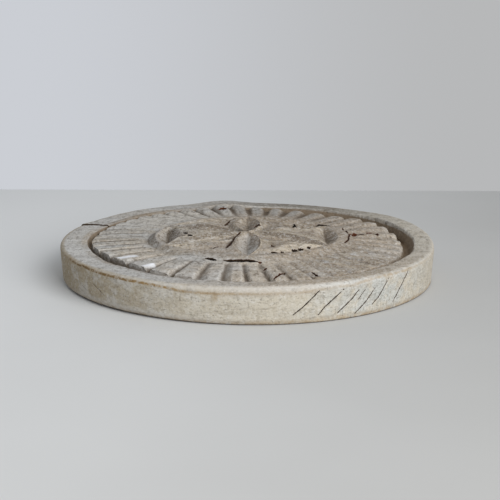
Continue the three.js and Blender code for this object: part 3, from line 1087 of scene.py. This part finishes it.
# A tan for the wood, also used as painted light on facets and ridges that face the lamp
TAN_AND_PAINTED_LIGHT = screen_colour(206, 193, 172)
SHADE_BROWN = screen_colour(104, 90, 74)
CRACK_BROWN = screen_colour(70, 54, 38)
CRACK_BLACK = screen_colour(22, 17, 13)
RED_WOOD = screen_colour(112, 62, 38)
STAIN = screen_colour(150, 124, 84)
DARK_STAIN = screen_colour(104, 82, 52)
CHALK = screen_colour(185, 187, 183)
RIM_GREY = screen_colour(190, 194, 199)

BROWN_MIDDLE = (38, 10)
BROWN_SPREAD = (78, 100)

brown_zone = (from_spot(BROWN_MIDDLE, BROWN_SPREAD) + (patches - 0.5) * 0.9).ease(1.2, 0.6)
brown_zone = brown_zone.at_least(zone["brown rays"] * reach.ease(60, 80) * 1.2)
colour = mixed(tree, patches.ease(0.4, 0.62) * (0.75 - on_rim * 0.45), GREY, TAN)
colour = layered(tree, colour, (
    (brown_zone * on_top * (0.85 - on_rim * 0.45), WARM_BROWN),
    (at_back * valley.ease(0.25, 0.0) * 0.7, LOBE_GREY),
    (on_side * 0.85, CREAM),
    (on_rim * x.ease(-40, 70) * 0.7, CREAM),
    (on_rim * zone["front rim"] * 0.7, WARM_BROWN),
    (on_rim * zone["back rim"] * 0.75, GREY_DIRT_AND_SHADE),
    (on_rim * zone["left rim"] * (blotches.ease(0.4, 0.6) * 0.5 + 0.25), PALE),
    (on_side * height.ease(16.5, 19.5) * zone["front side"] * 0.5, WARM_BROWN),
    # the left side painted darker: painted shade, with some dirt
    (on_side * zone["left side"] * 0.9, SHADED_CREAM),
    (on_side * zone["chalky side"] * blotches.ease(0.36, 0.54) * 0.85, CHALK),
    (on_side * zone["pale side"] * blotches.ease(0.5, 0.62) * 0.5, PALE),
    (on_side * zone["stained side"] * blotches.ease(0.48, 0.36) * 0.2, STAIN),
))
print(f"wood: {len(tree.nodes)} nodes so far")

# %% The colours of the rosette and the rays
# Painted shade, with some dirt, in hollows of the rosette: the middle and the spread in millimetres, how strong
# they are, and their colour
SHADED_SPOTS = (
    ((3.5, -24), (2.6, 17), 0.7, SHADE_BROWN),
    ((-52, 9), (4, 15), 0.75, DIRT_AND_SHADE),
    ((-48, 8), (9, 18), 0.4, FIBRE_BROWN),
    ((-37, 19), (7, 11), 0.5, DIRT_AND_SHADE),
    ((-8.6, -20), (3.5, 17), 0.5, SHADE_BROWN),
    ((57, 7), (5, 20), 0.35, SHADE_BROWN),
)
GROOVE_MIDDLE = 65.5
EDGE_WIDTH = 0.6
SIDE_EDGE_EXTRA = 3.6

shaded = painted_light * -1
groove_dirt_and_shade = (reach - GROOVE_MIDDLE).size().ease(6.5, 2) * zone["groove"]
front_petal = zone["front petal"] * cut.ease(0.2, 1.5) * on_rosette
facets = on_top * (on_medallion * 0.75 + 0.25) * (1 - front_petal * 0.8)
colour = layered(tree, colour, (
    # the groove round the medallion darker: dirt and painted shade
    (groove_dirt_and_shade * on_top * 0.4, DIRT_AND_SHADE),
    (on_rosette * (0.55 - zone["back petal"] * 0.3), WARM_BROWN),
    # painted light on facets turned to the lamp, painted shade on those turned away
    (painted_light.ease(0.06, 0.34) * facets * 0.5, TAN_AND_PAINTED_LIGHT),
    (shaded.ease(0.04, 0.38) * facets * 0.6, SHADE_BROWN),
    # the front petal painted paler, most where it faces away from the lamp: painted light against its shade
    (front_petal * (shaded.ease(0.04, 0.3) * 0.4 + 0.5), PALE),
    # painted light along the tan ridges
    (painted_tan_light * 0.6, TAN_AND_PAINTED_LIGHT),
))
for middle, spread, strength, tone in SHADED_SPOTS:
    spot = (from_spot(middle, spread) + (mottle - 0.5) * 0.8).ease(1.1, 0.5)
    colour = mixed(tree, spot * on_top * strength, colour, tone)

# The edge of a petal is a dark line of painted shade with a pale ridge of painted highlight beside it, both wider
# on the petals to the left and right
on_petals = on_rosette * within(reach, (5, 12), (55, 59))
from_edge = petal / (angle.math("COSINE") ** 2.0 * SIDE_EDGE_EXTRA + EDGE_WIDTH)
edge_shade_line = (from_edge + 0.5).size().ease(1.0, 0.4) * on_petals
edge_highlight = within(from_edge, (0.0, 0.3), (1.0, 1.7)) * on_petals
colour = layered(tree, colour, (
    (edge_shade_line * mottle.ease(0.2, 0.45) * 0.62, SHADE_BROWN),
    (edge_highlight * 0.65, TAN_AND_PAINTED_LIGHT),
    # painted highlights on the lit side of each ray at the left
    (left_rays * across.ease(0.45, 0.75) * valley.ease(0.1, 0.0) * 0.55, TAN_AND_PAINTED_LIGHT),
    (zone["pale rays"] * on_rays * 0.85, PALE),
    (zone["tan rays"] * on_rays * 0.35, TAN_AND_PAINTED_LIGHT),
    (zone["warm rays"] * on_rays * 0.25, WARM_BROWN),
    (worn_rays * 0.46, FIBRE_BROWN),
    (worn_rays * blotches.ease(0.52, 0.62) * 0.6, RIM_GREY),
    (worn_rays * within(across, (0.25, 0.6), (0.8, 0.95)) * 0.45, TAN_AND_PAINTED_LIGHT),
    (worn_rays * blotches.ease(0.46, 0.36) * 0.4, FIBRE_BROWN),
))
print(f"rosette and rays: {len(tree.nodes)} nodes so far")

# %% Grain, pores and speckles
ROT_MIDDLE = (-45, 8)
ROT_SPREAD = (15, 26)

carved = 1 - on_side * 0.6 - on_rim * 0.25
speckled = carved * 0.45 + on_rosette * 0.1 + on_rim * 0.1 + on_side * zone["speckled side"] * 0.25 + 0.15
crumbled = on_top * (zone["crumbled"] * 0.25 + 0.08)
rotten = from_spot(ROT_MIDDLE, ROT_SPREAD).ease(1.0, 0.55) * on_top
colour = layered(tree, colour, (
    (grain.ease(0.5, 0.7) * carved * 0.25, PALE),
    (grain.ease(0.47, 0.3) * carved * 0.25, FIBRE_BROWN),
    (fibre.ease(0.56, 0.72) * carved * 0.35, FIBRE_BROWN),
    (thin_lines * carved * 0.25, LINE_GREY),
    (mottle.ease(0.52, 0.72) * 0.4, PALE),
    (mottle.ease(0.46, 0.28) * (carved * 0.3 + 0.25), FIBRE_BROWN),
    (speckle.ease(0.53, 0.7) * speckled, PALE),
    (speckle.ease(0.46, 0.28) * speckled, PORE_BROWN),
    (flakes.ease(0.56, 0.68) * carved * 0.4, PALE),
    (flakes.ease(0.46, 0.34) * carved * 0.5, PORE_BROWN),
    (pores.ease(0.6, 0.72) * (carved * 0.4 + 0.2), PORE_BROWN),
    (crumbs.ease(0.54, 0.64) * crumbled, PALE),
    (crumbs.ease(0.46, 0.36) * crumbled, PORE_BROWN),
    (rotten * flakes.ease(0.44, 0.34) * 0.85, CRACK_BROWN),
    (rotten * speckle.ease(0.42, 0.3) * 0.8, CRACK_BLACK),
    (rotten * speckle.ease(0.56, 0.68) * 0.7, PALE),
))
print(f"grain: {len(tree.nodes)} nodes so far")

# %% Wear, dirt and painted shade
valley_dirt_and_shade = zone["darker valleys"] * 0.35 - zone["lighter valleys"] * 0.35 + 0.5
end_faces = within(reach, (103.4, 104.4), (105.6, 106.6)) * on_top
in_moat = within(reach, (103.5, 105), (111, 113)) * height.ease(23.8, 22.8) * on_top
back_left_gap = within(reach, (103.5, 105), (109, 111)) * zone["back left"] * on_top
colour = layered(tree, colour, (
    ((hollow * -1).ease(0.15, 1.2) * (1 - on_rim * 0.5) * 0.45, PALE),
    # hollows and valleys darker: dirt and painted shade
    (hollow.ease(0.1, 1.3) * 0.75, DIRT_AND_SHADE),
    (valley.ease(0.15, 0.9) * valley_dirt_and_shade, GREY_DIRT_AND_SHADE),
    # painted shadow lines in the valleys of the rays at the left
    (left_rays * valley.ease(0.02, 0.3) * 0.8, LINE_GREY),
    # the gaps between the lobes at the back darker: painted shade, with dirt
    (at_back * valley.ease(0.1, 0.7) * 0.9, BACK_BROWN),
    # the end faces of the rays at the front left darker: painted shade, with dirt
    (end_faces * (zone["dark ends"] * 0.55 + zone["dim ends"] * 0.35), BACK_BROWN),
    # deep cuts in the medallion and sheltered places darker: dirt and painted shade
    (cut.ease(1.5, 5.5) * reach.ease(64, 60) * 0.4, DIRT_AND_SHADE),
    (shelter.ease(0.2, 1.3) * 0.8, DIRT_AND_SHADE),
    # dirt and painted shade in the moat, and a line of painted shade in the gap at the back left
    (in_moat * 0.8, MOAT_BROWN),
    (back_left_gap * 0.6, MOAT_BROWN),
    # painted highlights on the white ridges
    (painted_highlight * mottle.ease(0.2, 0.4), WHITE),
))
print(f"wear and dirt: {len(tree.nodes)} nodes so far")

# %% Stains on the side, a painted shadow along the foot, then the cracks
ARRIS_HEIGHT = 22.2
ARRIS_DIP = 3.0
ARRIS_WANDER = 4.0
DRIP_HEIGHT = 17.5

from_arris = height - ARRIS_HEIGHT + zone["low arris"] * ARRIS_DIP + (patches - 0.5) * ARRIS_WANDER
arris = from_arris.size().ease(1.3, 0.2) * on_side * (mottle.ease(0.38, 0.56) * 0.7 + 0.3)
arris = (arris * (zone["left arris"] * 0.9 + zone["right arris"] * 0.3 + 0.25)).at_most(1.0)
drip = zone["drip"] * (height - DRIP_HEIGHT).size().ease(4.0, 0.5) * on_side
foot_height = zone["stained side"] * 2.2 + zone["front foot"] * 1.5 + 3.2
colour = layered(tree, colour, (
    (arris, STAIN),
    (arris.ease(0.3, 0.8) * zone["dark arris"] * 0.8, DARK_STAIN),
    (drip * 0.5, STAIN),
    (height.ease(foot_height, 0.6) * mottle.ease(0.3, 0.6) * 0.7, STAIN),
    # a painted contact shadow: the foot darker along the very bottom, more so at the left
    (height.ease(zone["foot shadow"] + 1.1, 0.2) * 0.85, CRACK_BROWN),
    (crack.ease(0.02, 0.3), mixed(tree, redness, CRACK_BROWN, RED_WOOD)),
    (crack.ease(0.3, 0.75) * (1 - redness * 0.7), CRACK_BLACK),
))
relief = grain * 0.4 + fibre * 0.3 + mottle * 0.6 + speckle * 0.4 - pores.ease(0.58, 0.75) * 0.6 - thin_lines * 0.4
finish_material(tree, shader, colour, roughness=0.9, relief=relief * (carved * 0.7 + 0.3), strength=0.8, depth=0.8 * MM)
shader.inputs["Specular IOR Level"].default_value = 0.2
print(f"bleached wood: {len(tree.nodes)} nodes")

# %% [markdown]
# ## Pegs
#
# The pegs are hidden in the joint. They are whittled from a straight branch, so their grain runs along their own
# length, across the board's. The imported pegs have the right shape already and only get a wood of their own.

# %% Peg wood
PEG_BROWN = screen_colour(150, 128, 100)
PEG_PALE = screen_colour(184, 163, 132)
peg_wood = bpy.data.materials.new("peg_wood")
tree, shader, place = start_material(peg_wood)
streaks = pattern(tree, place, stretch=(700, 30, 700), detail=4, roughness=0.6)
colour = mixed(tree, streaks.ease(0.35, 0.65), PEG_BROWN, PEG_PALE)
finish_material(tree, shader, colour, roughness=0.8, relief=streaks, strength=0.4, depth=0.3 * MM)
for name in PEGS:
    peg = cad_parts[name]
    peg.data.materials.clear()
    peg.data.materials.append(peg_wood)
print("three pegs in peg wood")

# %% [markdown]
# ## Table, light and camera
#
# The board lies on a pale table in front of a pale wall. The wall is only a colour of the sky that the camera sees
# beyond the far edge of the table, so it hides nothing when the board is looked at from behind. One large soft lamp
# is the window to the front right: the carving throws small shadows and the left side falls into shade. The light
# from all round is weak, and stronger from the wall. The camera looks a little down from the front, with a long
# lens, and its shift only sets the framing.

# %% A table painted a little darker to the front and the right, as painted light
STAGE_SIZE = 6.0
TABLE_END = 0.31
# Painted light: the table is lighter to the left and darker to the front and the right
TABLE_LEFT = screen_colour(241, 243, 244)
TABLE_RIGHT = screen_colour(183, 183, 181)
PAINT_REACH = 0.3
PAINT_SLANT = 0.35
PAINT_CLOUDS = 5.0
PAINT_UNEVENNESS = 0.1

table_paint = bpy.data.materials.new("table_paint")
tree, shader, place = start_material(table_paint)
x, y, _ = split_vector(tree, place)
clouds = cloudy(tree, place, PAINT_CLOUDS, detail=3.0) - 0.5
over_table = x - y * PAINT_SLANT + clouds * PAINT_UNEVENNESS
colour = mixed(tree, over_table.ease(-PAINT_REACH, PAINT_REACH), TABLE_LEFT, TABLE_RIGHT)
finish_material(tree, shader, colour, roughness=0.9)

half = STAGE_SIZE / 2
corners = [(-half, -half, 0), (half, -half, 0), (half, TABLE_END, 0), (-half, TABLE_END, 0)]
table_mesh = bpy.data.meshes.new("table")
table_mesh.from_pydata(corners, [], [(0, 1, 2, 3)])
table_mesh.materials.append(table_paint)
table = add_object("table", table_mesh)
print(f"table: ends {TABLE_END / MM:.0f} mm behind the centre")

# %% The window, and a sky that looks like a wall
KEY_DISTANCE = 1.3
KEY_SIZE = 0.9
KEY_POWER = 15.2
# Painted light: the wall that the camera sees is lighter to the left and darker to the right
WALL_LEFT = screen_colour(203, 206, 212)
WALL_RIGHT = screen_colour(183, 184, 185)
WALL_SPREAD = 0.2
SKY_LIGHT = (0.288, 0.294, 0.3, 1.0)
WALL_LIGHT = (0.45, 0.46, 0.475, 1.0)

key_data = bpy.data.lights.new("key_lamp", "AREA")
key_data.energy = KEY_POWER
key_data.size = KEY_SIZE
key = add_object("key_lamp", key_data)
key.location = to_window * KEY_DISTANCE
key.rotation_euler = to_window.to_track_quat("Z", "Y").to_euler()

sky = bpy.data.worlds.new("sky")
sky.use_nodes = True
tree = sky.node_tree
tree.nodes.clear()
direction = new_field(tree, "ShaderNodeTexCoord", output="Generated")
to_right, to_back, _ = split_vector(tree, direction)
wall_colour = mixed(tree, to_right.ease(-WALL_SPREAD, WALL_SPREAD), WALL_LEFT, WALL_RIGHT)
rays = add_node(tree, "ShaderNodeLightPath")
looks, shines, passes = (
    Field(tree, rays.outputs[name]) for name in ("Is Camera Ray", "Is Glossy Ray", "Is Transmission Ray"))
light = mixed(tree, to_back.ease(0.0, WALL_SPREAD), SKY_LIGHT, WALL_LIGHT)
sky_colour = mixed(tree, looks.at_least(shines).at_least(passes), light, wall_colour)
background = new_field(tree, "ShaderNodeBackground", {"Color": sky_colour, "Strength": 1.0})
add_node(tree, "ShaderNodeOutputWorld", {"Surface": background})
bpy.context.scene.world = sky
print(f"window {KEY_DISTANCE:.1f} m away")

# %% Camera
CAMERA_DISTANCE = 0.8095
CAMERA_TILT = math.radians(12.74)
CAMERA_ROLL = math.radians(-0.19)
CAMERA_LENS = 86.4
CAMERA_SHIFT = (0.0038, -0.023)

camera_data = bpy.data.cameras.new("camera")
camera_data.lens = CAMERA_LENS
camera_data.shift_x, camera_data.shift_y = CAMERA_SHIFT
camera = add_object("camera", camera_data)
camera.location = (
    0,
    -CAMERA_DISTANCE * math.cos(CAMERA_TILT),
    RIM_HEIGHT + CAMERA_DISTANCE * math.sin(CAMERA_TILT),
)
camera.rotation_euler = (math.pi / 2 - CAMERA_TILT, CAMERA_ROLL, 0)
bpy.context.scene.camera = camera
bpy.context.scene.view_settings.view_transform = "Standard"
print(f"camera at {tuple(round(c, 3) for c in camera.location)}")

# %% [markdown]
# ## Finishing
#
# The finished board has to fill the same box as the imported one. The script ends by bringing the scene up to date.

# %% Bring the scene up to date
bpy.context.view_layer.update()
